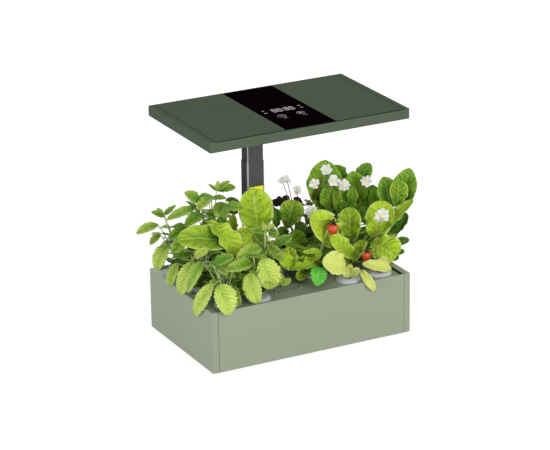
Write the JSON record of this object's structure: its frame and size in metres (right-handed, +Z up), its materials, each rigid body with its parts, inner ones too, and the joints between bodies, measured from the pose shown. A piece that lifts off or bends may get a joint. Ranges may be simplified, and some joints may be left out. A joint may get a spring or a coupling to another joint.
{
  "type": "countertop hydroponic garden",
  "caption": "Low panel-sided water box with a lift-out planting deck full of leafy plants, under a flat rectangular grow lamp on a telescopic post.",
  "frame": {"origin": "middle of the box's footprint, on the underside of the middle rubber foot, which is the surface that the garden stands on", "axes": "+X to the right along the long side, +Y away from the front towards the post, +Z up"},
  "size_m": [0.5159, 0.272, 0.433],
  "materials": {
    "panel_paint": "satin",
    "zinc_sheet": "satin",
    "screw_steel": "satin",
    "foot_rubber": "matte",
    "tank_plastic": "satin",
    "dark_plastic": "satin",
    "lead_jacket": "matte",
    "post_paint": "satin",
    "sticker": "satin",
    "white_plastic": "satin",
    "deck_plastic": "semi-gloss",
    "foam": "matte",
    "collar_plastic": "semi-gloss",
    "balm_leaf": "matte",
    "lettuce_leaf": "satin",
    "chard_leaf": "satin",
    "strawberry_plant": "satin",
    "petal": "matte",
    "berry": "satin",
    "basil_leaf": "satin",
    "lamp_paint": "satin",
    "black_glass": "gloss",
    "circuit_board": "satin",
    "board_aluminium": "satin",
    "white_chip": "satin",
    "red_chip": "satin",
    "diffuser_plastic": "satin"
  },
  "bodies": {
    "base": {"front_panel": "panel_paint", "back_panel": "panel_paint", "left_end_panel": "panel_paint", "right_end_panel": "panel_paint", "corner_straps": "zinc_sheet", "base_pan": "zinc_sheet", "case_screws": "screw_steel", "rubber_feet": "foot_rubber", "water_tank": "tank_plastic", "post_socket": "dark_plastic", "socket_screws": "screw_steel", "post_lower_tube": "post_paint", "post_label": "sticker", "post_lead": "lead_jacket", "dc_inlet": "dark_plastic", "inlet_pin": "screw_steel", "inlet_nut": "screw_steel", "pump_body": "dark_plastic", "pump_cups": "foot_rubber", "outlet_pipe": "dark_plastic", "pump_lead": "lead_jacket", "level_stem": "white_plastic"},
    "pump_impeller": {"pump_rotor": "white_plastic"},
    "float": {"level_float": "white_plastic"},
    "deck": {"grow_deck": "deck_plastic", "lid_pin": "screw_steel", "net_baskets": "white_plastic", "sponges": "foam", "pod_collars": "collar_plastic", "lemon_balm": "balm_leaf", "leaf_lettuce": "lettuce_leaf", "chard": "chard_leaf", "strawberry": "strawberry_plant", "blossoms": "petal", "berries": "berry", "purple_basil": "basil_leaf"},
    "fill_flap": {"fill_lid": "deck_plastic"},
    "lamp": {"post_upper_tube": "post_paint", "slide_block": "dark_plastic", "lamp_lead": "lead_jacket", "lamp_front_rail": "lamp_paint", "lamp_back_rail": "lamp_paint", "lamp_left_end": "lamp_paint", "lamp_right_end": "lamp_paint", "lamp_top_plates": "lamp_paint", "touch_glass": "black_glass", "display_board": "circuit_board", "light_board": "board_aluminium", "white_leds": "white_chip", "red_leds": "red_chip", "diffuser": "diffuser_plastic", "driver_board": "circuit_board", "lamp_bracket": "dark_plastic", "bracket_screws": "screw_steel"}
  },
  "joints": [
    {"name": "lamp_height", "type": "slide", "parent": "base", "child": "lamp", "axis": [0, 0, 1], "range_m": [-0.06, 0.11]},
    {"name": "deck_lift", "type": "slide", "parent": "base", "child": "deck", "axis": [0, 0, 1], "range_m": [0, 0.05]},
    {"name": "fill_lid_hinge", "type": "hinge", "parent": "deck", "child": "fill_flap", "pos_m": [-0.028, -0.0865, 0.1129], "axis": [-1, 0, 0], "range_deg": [0, 95]},
    {"name": "float_slide", "type": "slide", "parent": "base", "child": "float", "axis": [0, 0, 1], "range_m": [0, 0.03]},
    {"name": "pump_spin", "type": "hinge", "parent": "base", "child": "pump_impeller", "pos_m": [-0.054, 0.098, 0.035], "axis": [0, 0, 1], "continuous": true}
  ]
}
